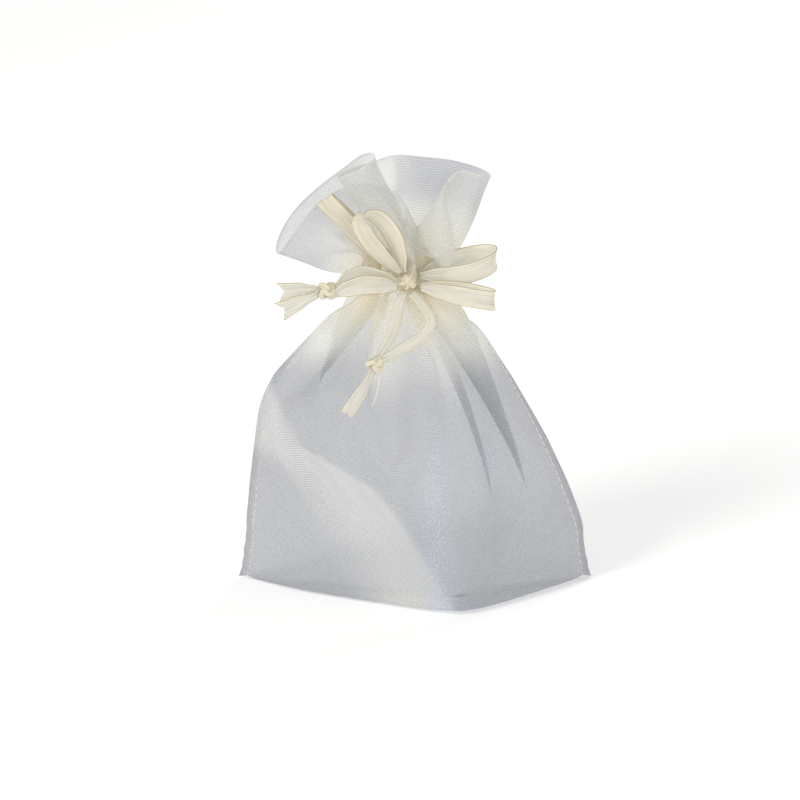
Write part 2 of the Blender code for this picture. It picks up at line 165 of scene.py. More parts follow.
class Maker:
    """Short names for the shader nodes that the materials are made of."""

    def __init__(self, name):
        self.mat, self.shader = new_material(name)
        self.nodes, self.links = self.mat.node_tree.nodes, self.mat.node_tree.links

    def put(self, socket, value):
        if hasattr(value, "is_output"):
            self.links.new(value, socket)
        elif value is not None:
            socket.default_value = value

    def math(self, op, a, b=None, c=None, clamp=False):
        node = self.nodes.new("ShaderNodeMath")
        node.operation = op
        node.use_clamp = clamp
        for socket, value in zip(node.inputs, (a, b, c)):
            self.put(socket, value)
        return node.outputs[0]

    def ramp(self, value, low, high, to_low=0.0, to_high=1.0):
        node = self.nodes.new("ShaderNodeMapRange")
        node.interpolation_type = "SMOOTHSTEP"
        for name, v in (("Value", value), ("From Min", low), ("From Max", high),
                        ("To Min", to_low), ("To Max", to_high)):
            self.put(node.inputs[name], v)
        return node.outputs[0]

    def bell(self, value, middle, width):
        """1 at middle, fading to 0 about one and a half widths away."""
        away = self.math("ABSOLUTE", self.math("SUBTRACT", value, middle))
        return self.ramp(away, 1.5 * width, 0.0)

    def attribute(self, name):
        node = self.nodes.new("ShaderNodeAttribute")
        node.attribute_name = name
        return node.outputs["Fac"]

    def flat(self):
        """Flat coordinates of the cloth or ribbon, in metres."""
        node = self.nodes.new("ShaderNodeUVMap")
        node.uv_map = "flat"
        split = self.nodes.new("ShaderNodeSeparateXYZ")
        self.links.new(node.outputs[0], split.inputs[0])
        return node.outputs[0], split.outputs[0], split.outputs[1]

    def stretch(self, vector, x, y, z=1.0):
        node = self.nodes.new("ShaderNodeMapping")
        self.links.new(vector, node.inputs["Vector"])
        node.inputs["Scale"].default_value = (x, y, z)
        return node.outputs[0]

    def noise(self, vector, scale, detail=2.0, rough=0.5):
        node = self.nodes.new("ShaderNodeTexNoise")
        self.links.new(vector, node.inputs["Vector"])
        node.inputs["Scale"].default_value = scale
        node.inputs["Detail"].default_value = detail
        node.inputs["Roughness"].default_value = rough
        return node.outputs["Fac"]

    def mix(self, share, a, b):
        node = self.nodes.new("ShaderNodeMix")
        node.data_type = "RGBA"
        self.put(node.inputs["Factor"], share)
        for name, value in (("A", a), ("B", b)):
            socket = [s for s in node.inputs if s.name == name and s.type == "RGBA"][0]
            self.put(socket, value if hasattr(value, "is_output") else (*value, 1.0))
        return [s for s in node.outputs if s.type == "RGBA"][0]

    def bump(self, height, strength, distance):
        node = self.nodes.new("ShaderNodeBump")
        node.inputs["Strength"].default_value = strength
        node.inputs["Distance"].default_value = distance
        self.links.new(height, node.inputs["Height"])
        return node.outputs[0]

    def sheer(self, colour, cover, through):
        """Let part of the light through the threads, and the rest of it between them."""
        back = self.nodes.new("ShaderNodeBsdfTranslucent")
        self.put(back.inputs["Color"], colour)
        cloth_mix = self.nodes.new("ShaderNodeMixShader")
        cloth_mix.inputs[0].default_value = through
        self.links.new(self.shader.outputs[0], cloth_mix.inputs[1])
        self.links.new(back.outputs[0], cloth_mix.inputs[2])
        clear = self.nodes.new("ShaderNodeBsdfTransparent")
        hole_mix = self.nodes.new("ShaderNodeMixShader")
        self.put(hole_mix.inputs[0], cover)
        self.links.new(clear.outputs[0], hole_mix.inputs[1])
        self.links.new(cloth_mix.outputs[0], hole_mix.inputs[2])
        self.links.new(hole_mix.outputs[0], self.nodes["Material Output"].inputs["Surface"])

    def threads(self, along, pitch, wobble):
        """0 between threads to 1 on them, across one direction of the weave."""
        phase = self.math("ADD", self.math("MULTIPLY", along, 2 * math.pi / pitch), wobble)
        return self.math("MULTIPLY_ADD", self.math("SINE", phase), 0.5, 0.5)


def organza(name="organza"):
    """Sheer woven cloth: fine irregular threads, blue-grey where thin, ivory where gathered and where
    painted light lifts folds in shade; painted blue sheen and glints.
    """
    m = Maker(name)
    coords, u, v = m.flat()
    gather = m.attribute("gather")
    hem = m.attribute("hem")
    wide = m.noise(coords, 60, 3)
    slubs_u = m.noise(m.stretch(coords, 9, 1), 700, 2)
    slubs_v = m.noise(m.stretch(coords, 1, 9), 700, 2)
    weft = m.threads(v, 0.62 * MM, m.math("MULTIPLY", wide, 9.0))
    warp = m.threads(u, 0.50 * MM, m.math("MULTIPLY", wide, 7.0))
    weave = m.math("ADD", m.math("MULTIPLY", weft, 0.62), m.math("MULTIPLY", warp, 0.38))
    weave = m.math("ADD", weave, m.math("MULTIPLY_ADD", slubs_u, 0.9, -0.45))
    weave = m.math("ADD", weave, m.math("MULTIPLY_ADD", slubs_v, 0.9, -0.45))
    cover = m.math("MULTIPLY_ADD", weave, 0.24, 0.38)
    cover = m.math("ADD", cover, m.math("MULTIPLY", gather, -0.05))
    cover = m.math("ADD", cover, m.math("MULTIPLY", hem, 0.32), clamp=True)
    thin = m.mix(weave, (0.32, 0.33, 0.362), (0.53, 0.545, 0.585))
    light = m.mix(weave, (0.72, 0.72, 0.67), (0.94, 0.935, 0.88))
    cream = m.mix(weave, (0.97, 0.88, 0.68), (1.0, 0.97, 0.85))
    # The gather attribute is partly the denser gathered cloth and partly painted light: its cream also
    # brightens folds that lie in shade and the lower left facet that catches the light.
    colour = m.mix(m.ramp(gather, 0.0, 0.5), thin, light)
    colour = m.mix(m.ramp(gather, 0.5, 1.0), colour, cream)
    # Painted sheen: a blue band and a spot of reflected light, with painted white-blue glints on
    # single threads, fixed in the cloth's flat coordinates.
    painted_sheen_streak = m.math("MULTIPLY", m.bell(u, 0.056, 0.0045), m.ramp(v, 0.070, 0.052))
    painted_sheen_patch = m.math("MULTIPLY", m.bell(u, 0.078, 0.012), m.bell(v, 0.050, 0.022))
    painted_sheen_patch = m.math("MULTIPLY", painted_sheen_patch, m.ramp(wide, 0.40, 0.62))
    shine = m.math("ADD", painted_sheen_streak, m.math("MULTIPLY", painted_sheen_patch, 0.7), clamp=True)
    shine = m.math("MULTIPLY_ADD", shine, 0.92, 0.08)
    painted_glint_sparks = m.ramp(m.noise(coords, 2300, 1, 0.6), 0.53, 0.66)
    glint = m.math("MULTIPLY", painted_glint_sparks, shine)
    colour = m.mix(m.math("MULTIPLY", shine, 0.28), colour, (0.46, 0.56, 0.84))
    colour = m.mix(m.math("MULTIPLY", glint, 0.85), colour, (0.80, 0.90, 1.0))
    cover = m.math("ADD", cover, m.math("MULTIPLY", glint, 0.22), clamp=True)
    m.put(m.shader.inputs["Base Color"], colour)
    m.shader.inputs["Roughness"].default_value = 0.36
    m.shader.inputs["Specular IOR Level"].default_value = 0.6
    m.shader.inputs["Sheen Weight"].default_value = 0.2
    m.shader.inputs["Sheen Roughness"].default_value = 0.35
    m.shader.inputs["Sheen Tint"].default_value = (0.75, 0.84, 1.0, 1)
    m.put(m.shader.inputs["Normal"], m.bump(weave, 0.5, 0.12 * MM))
    m.sheer(colour, cover, 0.5)
    return m.mat


def ribbon_cloth(name="ribbon_ivory", dense=0.84, dark=(0.68, 0.62, 0.48), bright=(0.99, 0.96, 0.85)):
    """Narrow sheer ribbon: fine lengthwise fibres between two woven edges."""
    m = Maker(name)
    coords, u, v = m.flat()
    fibres = m.noise(m.stretch(coords, 60, 1), 90, 3, 0.65)
    coarse = m.noise(m.stretch(coords, 14, 1), 80, 2)
    streaks = m.noise(m.stretch(coords, 22, 1), 60, 2)
    ribs = m.threads(u, 0.36 * MM, m.math("MULTIPLY", coarse, 5.0))
    picks = m.threads(v, 0.30 * MM, m.math("MULTIPLY", coarse, 4.0))
    edge = m.ramp(m.math("ABSOLUTE", u), RIBBON * 0.38, RIBBON * 0.44)
    rim = m.ramp(m.math("ABSOLUTE", u), RIBBON * 0.465, RIBBON * 0.49)
    tone = m.math("ADD", m.math("MULTIPLY", ribs, 0.30), m.math("MULTIPLY", fibres, 0.9))
    tone = m.math("ADD", tone, m.math("MULTIPLY", picks, 0.10), clamp=True)
    body = m.mix(tone, dark, bright)
    body = m.mix(m.ramp(streaks, 0.50, 0.70, 0.0, 0.65), body, (0.62, 0.635, 0.62))
    colour = m.mix(m.math("MULTIPLY", edge, 0.8), body, (1.0, 0.94, 0.78))
    colour = m.mix(m.math("MULTIPLY", rim, 0.75), colour, (0.42, 0.36, 0.26))
    m.put(m.shader.inputs["Base Color"], colour)
    cover = m.math("MULTIPLY_ADD", tone, 0.34, dense - 0.28)
    cover = m.math("ADD", cover, m.math("MULTIPLY", edge, 0.3), clamp=True)
    m.shader.inputs["Roughness"].default_value = 0.38
    m.shader.inputs["Sheen Weight"].default_value = 0.2
    m.shader.inputs["Sheen Roughness"].default_value = 0.4
    height = m.math("ADD", tone, m.math("MULTIPLY", edge, 0.6))
    m.put(m.shader.inputs["Normal"], m.bump(height, 0.6, 0.10 * MM))
    m.sheer(colour, cover, 0.42)
    return m.mat


def thread_cloth(name="sewing_thread"):
    """Twisted sewing thread, ivory."""
    m = Maker(name)
    coords = m.nodes.new("ShaderNodeTexCoord").outputs["Object"]
    twist = m.noise(coords, 2500, 2)
    m.put(m.shader.inputs["Base Color"], m.mix(twist, (0.66, 0.61, 0.49), (0.93, 0.90, 0.80)))
    m.shader.inputs["Roughness"].default_value = 0.6
    m.put(m.shader.inputs["Normal"], m.bump(twist, 0.4, 0.05 * MM))
    return m.mat


# ---------------------------------------------------------------- mesh helpers
def smooth_route(points, count):
    """Points evenly shared out along a Catmull-Rom curve through the given ones."""
    ends = [points[0] * 2 - points[1]] + list(points) + [points[-1] * 2 - points[-2]]
    spans = len(points) - 1
    fine = []
    for n in range(spans * 24 + 1):
        s = n / 24
        k = min(int(s), spans - 1)
        t = s - k
        a, b, c, d = ends[k:k + 4]
        fine.append(0.5 * (2 * b + (c - a) * t + (2 * a - 5 * b + 4 * c - d) * t * t
                           + (3 * b - 3 * c + d - a) * t ** 3))
    steps = [(q - p).length for p, q in zip(fine, fine[1:])]
    total = sum(steps)
    route, k, gone = [], 0, 0.0
    for n in range(count):
        want = total * n / (count - 1)
        while k < len(steps) - 1 and gone + steps[k] < want:
            gone += steps[k]
            k += 1
        route.append(fine[k].lerp(fine[k + 1], min(1.0, (want - gone) / max(steps[k], 1e-9))))
    return route


def route_length(points):
    """The length of a line of points."""
    return sum((q - p).length for p, q in zip(points, points[1:]))


def mesh_object(name, verts, faces, mat, uvs=None):
    """A smooth-shaded object, with a flat coordinate for each of its points if given."""
    mesh = bpy.data.meshes.new(name)
    mesh.from_pydata([tuple(v) for v in verts], [], faces)
    mesh.validate()
    if uvs is not None:
        layer = mesh.uv_layers.new(name="flat")
        loops = np.array([loop.vertex_index for loop in mesh.loops])
        layer.data.foreach_set("uv", np.array(uvs, float)[loops].ravel())
    mesh.shade_smooth()
    mesh.materials.append(mat)
    return link(bpy.data.objects.new(name, mesh))


def shares(values, t):
    """The value at share t of the way along a list, smoothly."""
    s = t * (len(values) - 1)
    k = min(int(s), len(values) - 2)
    f = s - k
    f = f * f * (3 - 2 * f)
    return values[k] * (1 - f) + values[k + 1] * f


def turned(vector, axis, angle):
    """A vector turned about an axis."""
    axis = axis.normalized()
    return (vector * math.cos(angle) + axis.cross(vector) * math.sin(angle)
            + axis * axis.dot(vector) * (1 - math.cos(angle)))


def ribbon(name, points, face_side, widths, mat, count=60, twist=(0, 0), curl=(0.12, 0.12),
           notch=0.0, pleats=0.0, seed=0):
    """A thin flat ribbon along a curve, as a closed strip with rounded cupping.

    widths, twist (radians) and curl (cupping as a share of the width) run root to end. notch
    cuts the end to a V of that depth, as a share of the width, and pleats gathers the root.
    """
    route = smooth_route(points, count)
    across = 11
    total = route_length(route)
    top, bottom, uv_top = [], [], []
    for n, p in enumerate(route):
        share = n / (count - 1)
        ahead = (route[min(n + 1, count - 1)] - route[max(n - 1, 0)]).normalized()
        wide = (face_side - ahead * face_side.dot(ahead)).normalized()
        wide = turned(wide, ahead, shares(list(twist), share))
        up = ahead.cross(wide)
        width = shares(widths, share)
        cup = shares(list(curl), share)
        squeeze = 1.0 - width / RIBBON
        for i in range(across):
            t = i / (across - 1) - 0.5
            place = p + wide * (t * width)
            fold = math.cos(t * 2 * math.pi * 2 + seed) * squeeze * 0.5 + 0.10 * math.sin(
                7 * share * math.pi + seed + 5 * t) * (1 - squeeze)
            place += up * (cup * width * (1 - 4 * t * t) * 0.5 + fold * pleats * MM)
            if notch and share > 0.8:
                place += ahead * (notch * width * (abs(t) * 2 - 0.5) * (share - 0.8) / 0.2)
            top.append(place + up * RIBBON_THICK / 2)
            bottom.append(place - up * RIBBON_THICK / 2)
            uv_top.append((t * RIBBON, share * total + seed * 0.013))
    faces = []
    size = len(top)
    for n in range(count - 1):
        for i in range(across - 1):
            a = n * across + i
            quad = (a, a + 1, a + across + 1, a + across)
            faces.append(quad)
            faces.append(tuple(v + size for v in reversed(quad)))
    rim = list(range(across)) + [n * across + across - 1 for n in range(1, count)]
    rim += list(range(size - 2, size - across - 1, -1)) + [n * across for n in range(count - 2, 0, -1)]
    faces += [(b, a, a + size, b + size) for a, b in zip(rim, rim[1:] + rim[:1])]
    obj = mesh_object(name, top + bottom, faces, mat, uv_top + uv_top)
    return obj, route


def tube(points, radius, sides=8, closed=False, squash=1.0):
    """Points and faces of a tube along a route."""
    verts, faces = [], []
    count = len(points)
    up = Vector((0.13, 0.2, 0.97))
    for n, p in enumerate(points):
        if closed:
            ahead = points[(n + 1) % count] - points[(n - 1) % count]
        else:
            ahead = points[min(n + 1, count - 1)] - points[max(n - 1, 0)]
        ahead = ahead.normalized()
        up = (up - ahead * up.dot(ahead)).normalized()
        side = ahead.cross(up)
        for i in range(sides):
            angle = 2 * math.pi * i / sides
            verts.append(p + up * (radius * squash * math.cos(angle))
                         + side * (radius * math.sin(angle)))
    for n in range(count if closed else count - 1):
        m = (n + 1) % count
        for i in range(sides):
            k = (i + 1) % sides
            faces.append((n * sides + i, n * sides + k, m * sides + k, m * sides + i))
    if not closed:
        faces.append(tuple(reversed(range(sides))))
        faces.append(tuple(range((count - 1) * sides, count * sides)))
    return verts, faces


def join_parts(parts):
    """One list of points and faces from several."""
    verts, faces = [], []
    for part_verts, part_faces in parts:
        base = len(verts)
        verts += part_verts
        faces += [tuple(v + base for v in face) for face in part_faces]
    return verts, faces


# ---------------------------------------------------------------- ribbons
def upright():
    return Vector((0, 0, 1))


def end_knot(name, node, turn, mat, wrap=0.62):
    """An overhand knot of ribbon: one strand that winds through itself."""
    low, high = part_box(node)
    middle, half = (low + high) / 2, (high - low) / 2
    points = []
    for n in range(90):
        t = 2 * math.pi * n / 90
        x = math.sin(t) + 2 * math.sin(2 * t)
        y = math.cos(t) - 2 * math.cos(2 * t)
        z = -math.sin(3 * t)
        q = Vector((x / 3 * (1 - wrap * 0.52), z * 0.42, y / 3 * (1 - wrap * 0.52)))
        q = turned(q, Vector((0, 1, 0)), turn)
        points.append(middle + Vector((q.x * half.x * 1.18, q.y * half.y, q.z * half.z * 1.18)))
    sides = 12
    verts, faces = tube(points, half.z * 0.36, sides, closed=True, squash=0.8)
    uvs = [((i % sides) / sides * RIBBON - RIBBON / 2, (i // sides) * 0.25 * MM)
           for i in range(len(verts))]
    core, core_faces = lump(middle, half * 0.62)
    verts, faces = join_parts([(verts, faces), (core, core_faces)])
    uvs += [(0.0, 0.0)] * len(core)
    obj = mesh_object(name, verts, faces, mat, uvs)
    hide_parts(node)
    return obj


def lump(middle, half, rings=8, sides=14):
    """A small rounded lump."""
    verts = [middle + Vector((0, 0, -half.z))]
    for j in range(1, rings):
        lat = -math.pi / 2 + math.pi * j / rings
        for i in range(sides):
            lon = 2 * math.pi * i / sides
            verts.append(middle + Vector((half.x * math.cos(lat) * math.cos(lon),
                                          half.y * math.cos(lat) * math.sin(lon),
                                          half.z * math.sin(lat))))
    verts.append(middle + Vector((0, 0, half.z)))
    faces = [(0, 1 + (i + 1) % sides, 1 + i) for i in range(sides)]
    for j in range(rings - 2):
        for i in range(sides):
            a, b = 1 + j * sides + i, 1 + j * sides + (i + 1) % sides
            faces.append((a, b, b + sides, a + sides))
    top = len(verts) - 1
    faces += [(top, top - sides + i, top - sides + (i + 1) % sides) for i in range(sides)]
    return verts, faces


def bow_knot(mat):
    """The bow's knot: a bunched core with two turns of ribbon wrapped over it."""
    half = (BOW_BOX[1] - BOW_BOX[0]) / 2
    parts, uvs = [], []
    core, faces = lump(KNOT, half * 0.85)
    parts.append((core, faces))
    uvs += [(0.0, 0.0)] * len(core)
    for tilt, shift, width in ((0.95, -0.35, 0.55), (-0.35, 0.30, 0.62), (0.25, 0.0, 0.5)):
        points = []
        for n in range(48):
            t = 2 * math.pi * n / 48
            q = Vector((0.0, math.cos(t), math.sin(t)))
            q.x = shift + 0.18 * math.sin(2 * t + tilt)
            q = turned(q, Vector((0, 1, 0)), tilt)
            points.append(KNOT + Vector((q.x * half.x, q.y * half.y * 0.86, q.z * half.z * 0.9)))
        sides = 12
        verts, faces = tube(points, half.x * width * 0.55, sides, closed=True, squash=0.45)
        parts.append((verts, faces))
        uvs += [((i % sides) / sides * RIBBON - RIBBON / 2, (i // sides) * 0.25 * MM)
                for i in range(len(verts))]
    verts, faces = join_parts(parts)
    obj = mesh_object("bow_knot_wrapped", verts, faces, mat, uvs)
    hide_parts("bow_knot")
    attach(obj, "neck")


def bow_loop(name, node, body, root, tip, face_side, profile, open_side, mat, seed=0, thick=0.5):
    """A ribbon loop through a profile of (share of the way to the tip, offset in mm, drop in mm)."""
    along = tip - root
    points = [root + along * t + open_side.normalized() * (off * MM) - upright() * (drop * MM)
              for t, off, drop in profile]
    widths = [2.0 * MM, 4.4 * MM] + [RIBBON] * 5 + [4.4 * MM, 2.0 * MM]
    obj, _ = ribbon(name, points, face_side, widths, mat, 140, (0, 0), (0.08, 0.08), 0.0, thick, seed)
    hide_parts(node)
    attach(obj, body)
    return obj


def leads(mat):
    """The ribbons' runs from the casing's side openings round the front to the bow."""
    half_x = NECK_HALF.x + 0.65 * MM
    half_y = NECK_HALF.y + 0.65 * MM
    middle = (CASING_LOW + CASING_HIGH) / 2
    for side, first, last in (("right", 4, 62), ("left", 176, 122)):
        points = []
        for n in range(8):
            angle = math.radians(first + (last - first) * n / 7)
            points.append(Vector((NECK.x + half_x * math.cos(angle),
                                  -half_y * math.sin(angle), middle)))
        obj, _ = ribbon(f"lead_{side}", points, upright(), [4.8 * MM, 4.8 * MM, 4.2 * MM, 3.4 * MM],
                        mat, 40, (0, 0.15), (0.12, 0.2), 0.0, 0.4, 3)
        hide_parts(f"{side}_drawstring_lead")
        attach(obj, "neck")


FLAT_LOOP = [(0, 0.35, 0), (0.25, 0.9, 0), (0.55, 1.1, 0), (0.88, 1.0, 0), (1.0, 0.0, 0),
             (0.88, -0.9, 0), (0.55, -0.9, 0), (0.25, -0.7, 0), (0, -0.35, 0)]
OPEN_LOOP = [(0, -0.3, 0), (0.25, -1.7, 0), (0.5, -2.5, 0), (0.78, -2.9, 0), (0.95, -2.2, 0),
             (1.02, -0.2, 0), (0.94, 2.0, 0), (0.74, 3.1, 0), (0.48, 2.9, 0), (0.22, 1.6, 0),
             (0, 0.3, 0)]
BACK_EAR = [(0, 0.4, 0), (0.25, 1.9, -0.5), (0.5, 2.8, -0.6), (0.78, 3.0, -0.2), (0.97, 1.6, 0.2),
            (1.02, -0.4, 0.6), (0.94, -2.4, 1.2), (0.7, -3.2, 1.7), (0.45, -2.8, 1.4),
            (0.2, -1.6, 0.6), (0, -0.4, 0)]
FRONT_EAR = [(0, 0.4, 0), (0.3, 1.2, 0), (0.6, 1.7, 0.1), (0.9, 1.4, 0.3), (1.0, 0.1, 0.3),
             (0.9, -1.4, 0.1), (0.6, -1.7, 0.0), (0.3, -1.2, 0), (0, -0.4, 0)]


def bow(mat, pale_mat, knot_painted_light_mat):
    bow_knot(knot_painted_light_mat)
    depth = Vector((0, 1, 0))
    bow_loop("loop_tall", "tall_loop", "tall_loop", mm(-4.6, -9.7, 97.6), mm(-23.6, -10.4, 118.4),
             Vector((0.72, -0.2, 0.62)), FLAT_LOOP, depth, mat, 1)
    bow_loop("loop_short", "short_loop", "short_loop", mm(-3.4, -12.5, 98.6),
             mm(-12.6, -15.9, 116.0), Vector((0.64, -0.40, 0.66)), OPEN_LOOP,
             Vector((0.86, 0.12, 0.50)), mat, 2)
    bow_loop("loop_right_front", "right_loop_front", "right_loops", mm(1.5, -12.0, 94.2),
             mm(20.8, -15.8, 92.4), upright(), FRONT_EAR, depth, pale_mat, 3)
    bow_loop("loop_right_back", "right_loop_back", "right_loops", mm(1.1, -9.7, 96.6),
             mm(20.8, -8.6, 101.6), upright(), BACK_EAR, depth, pale_mat, 4)


def tails(mat, knot_painted_light_mat):
    """The four free ribbon ends, as cords with their knots and a loose thread."""
    left_knot = end_knot("knot_left_end", "left_end_knot", 0.4, knot_painted_light_mat)
    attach(left_knot, "left_tail")
    lower_knot = end_knot("knot_lower_end", "lower_end_knot", -0.6, knot_painted_light_mat)
    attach(lower_knot, "hanging_tail")
    verts, faces = tube(smooth_route([mm(-9.4, -17.4, 71.9), mm(-9.8, -17.8, 67.4),
                                      mm(-11.2, -18, 62.6)], 24), 0.16 * MM, 8)
    loose = mesh_object("thread_loose", verts, faces, mat, [(0, 0)] * len(verts))
    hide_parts("loose_thread")
    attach(loose, "hanging_tail")
    side = Vector((1, 0, 0))
    wide = [2.2 * MM, 4.8 * MM, RIBBON, 4.6 * MM, 2.2 * MM, 1.8 * MM, 2.2 * MM, 4.2 * MM, RIBBON]
    strand = [2.0 * MM, 2.6 * MM, 3.0 * MM, 2.4 * MM, 1.8 * MM]
    runs = (
        ("tail_left_upper", ["left_tail_upper", "left_tip_upper"], "left_tail", left_knot,
         [mm(-4.9, -12.2, 95.6), mm(-9, -13.2, 97), mm(-14, -13.6, 98.2), mm(-18, -13.6, 96.8),
          mm(-20.6, -13.5, 94.9), mm(-22.4, -13.2, 95.0), mm(-23.8, -14.6, 93.2),
          mm(-26.1, -13.8, 94.2), mm(-30, -14.0, 94.2), mm(-35, -14.2, 93.6)],
         upright(), wide, RIBBON, 0.30, 5),
        ("tail_left_lower", ["left_tail_lower", "left_tip_lower"], "left_tail", left_knot,
         [mm(-4.7, -13.1, 94.5), mm(-9, -14.2, 95.6), mm(-14, -14.7, 95.8), mm(-18, -14.7, 94.6),
          mm(-20.5, -14.5, 93.4), mm(-22.4, -15.0, 93.0), mm(-23.8, -13.4, 95.0),
          mm(-26.0, -14.8, 92.9), mm(-30, -15.1, 91.2), mm(-34.8, -15.3, 88.8)],
         upright(), wide, RIBBON, 0.30, 6),
        ("tail_hanging_inner", ["hanging_tail_inner", "hanging_tip"], "hanging_tail", lower_knot,
         [mm(-3.0, -11.6, 92.6), mm(-4.2, -13.2, 89), mm(-5.4, -14.8, 84.5), mm(-7, -15.9, 80.6),
          mm(-9, -16.6, 77.3), mm(-10.2, -17, 74.6), mm(-11.4, -17.3, 72.2),
          mm(-14, -17.8, 66.8), mm(-18, -18.4, 60.4)],
         side, [2.0 * MM, 2.8 * MM, 2.6 * MM, 1.8 * MM, 1.8 * MM, 3.4 * MM, 3.8 * MM],
         3.8 * MM, 0.15, 9),
        ("tail_hanging_outer", ["hanging_tail_outer"], "hanging_tail", lower_knot,
         [mm(-0.9, -12.2, 92.4), mm(2.4, -13.8, 89.2), mm(4.3, -15, 85.4), mm(1.6, -15.9, 81.4),
          mm(-3.4, -16.5, 78.4), mm(-6.9, -16.9, 76.4), mm(-9.6, -17.6, 75.6),
          mm(-11.6, -17.0, 74.6), mm(-10.9, -16.4, 73.0), mm(-9.6, -17.2, 72.2)],
         side, strand, 3.0 * MM, 0.0, 10),
    )
    for name, nodes, body, knot, points, face_side, widths, width, notch, seed in runs:
        obj, route = ribbon(name, points, face_side, widths, mat, 110, (0, 0), (0.15, 0.2), notch,
                            0.5, seed)
        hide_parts(*nodes)
        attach(obj, body)


# ---------------------------------------------------------------- cloth, by relaxation
ROWS = 83
DU = 2 * SHEET_WIDTH / COLUMNS
DV = BODY / (ROWS - 1)
HALF = COLUMNS // 2

# The side seams' and the floor fold's places, in millimetres: (z, x) and (x, y)
LEFT_EDGE = np.array([(0, -47.3), (28.4, -44.5), (53.4, -41.3), (62.0, -37.8), (76, -25.5),
                      (87.3, -15.4), (89, -14.3)])
RIGHT_EDGE = np.array([(0, 47.3), (19.1, 45.4), (43.3, 35.1), (61.1, 25.7), (83.2, 11.9),
                       (89, 6.4)])
FOLD = np.array([(-47.3, 8.5), (-28.4, -2.4), (-4, -11.3), (6.8, -15.2), (12.2, -17.1),
                 (20.3, -11.4), (33.8, -1.3), (47.3, 8.5)])
FOLD_APEX_X = 12.2
SEAM_APEX_Y = -9.5           # the bottom seam's foremost point, behind the fold
FLOOR_LIFT = 0.3             # the cloth's height above the floor that it lies on
FOLD_ROWS = 8                # rows of cloth between the bottom seam and the fold's apex
APEX = int(round(0.3075 * COLUMNS))
FALL = 3e-6                  # how far a point falls in a step
# The front's two creases, each from its low end: x, y, z in millimetres
LEFT_RIDGE = np.array([(12.2, -17.1, 0.3), (5, -16.2, 15), (-4.1, -14.2, 29), (-10.3, -12.8, 35.4),
                       (-20.5, -9.8, 39.6), (-29.4, -5.8, 43), (-33.6, -1.5, 52.9), (-36.6, 1.9, 60)])
RIGHT_RIDGE = np.array([(21.3, -10.4, 31.6), (14.3, -12.2, 47.7), (9.5, -11.8, 61), (7.2, -10.2, 73),
                        (4.6, -8.8, 83)])
RIDGE_STEP = 2.5
# Hollows between the creases: x, z, half sizes, and the y that they sink to
HOLLOWS = ((-24.0, 54, 10, 11, -0.5, 0.10), (-3, 50, 8, 13, -8.0, 0.06), (24, 42, 8, 10, -5.0, 0.05),
           (-28, 18, 12, 12, -4.5, 0.05))


def ease(a, b, x):
    """0 up to a, 1 from b on, smooth in between."""
    t = np.clip((x - a) / (b - a), 0, 1)
    return t * t * (3 - 2 * t)


def ring_plan(pleats=20, depth=0.52, seed=4):
    """The gathered cloth's zigzag round the neck: x and y of each column."""
    rng = np.random.default_rng(seed)
    s = np.arange(COLUMNS) / COLUMNS
    phase = sum(rng.normal(0, 0.45 / k) * np.sin(2 * np.pi * k * s + rng.uniform(0, 6.28))
                for k in range(1, 6))
    wave = 0.5 + 0.5 * np.cos(2 * np.pi * pleats * s + 2 * phase)
    deep = depth * (1 + 0.16 * np.sin(2 * np.pi * 3 * s + 1.0)
                    + 0.12 * np.sin(2 * np.pi * 7 * s + 2))
    angle = np.pi + 2 * np.pi * s
    r = 1 - deep * (1 - wave)
    half = (NECK_HALF.x - 0.2 * MM, NECK_HALF.y - 0.2 * MM)
    return np.stack([NECK.x + half[0] * np.cos(angle) * r,
                     NECK.y + half[1] * np.sin(angle) * r], 1)


def pull(a, b, wa, wb, rest, k):
    """Move two blocks of points towards their rest distance."""
    d = b - a
    length = np.sqrt(np.einsum("...i,...i->...", d, d)) + 1e-12
    lam = (k * (length - rest) / (length * (wa + wb + 1e-9)))[..., None] * d
    a += lam * wa[..., None]
    b -= lam * wb[..., None]


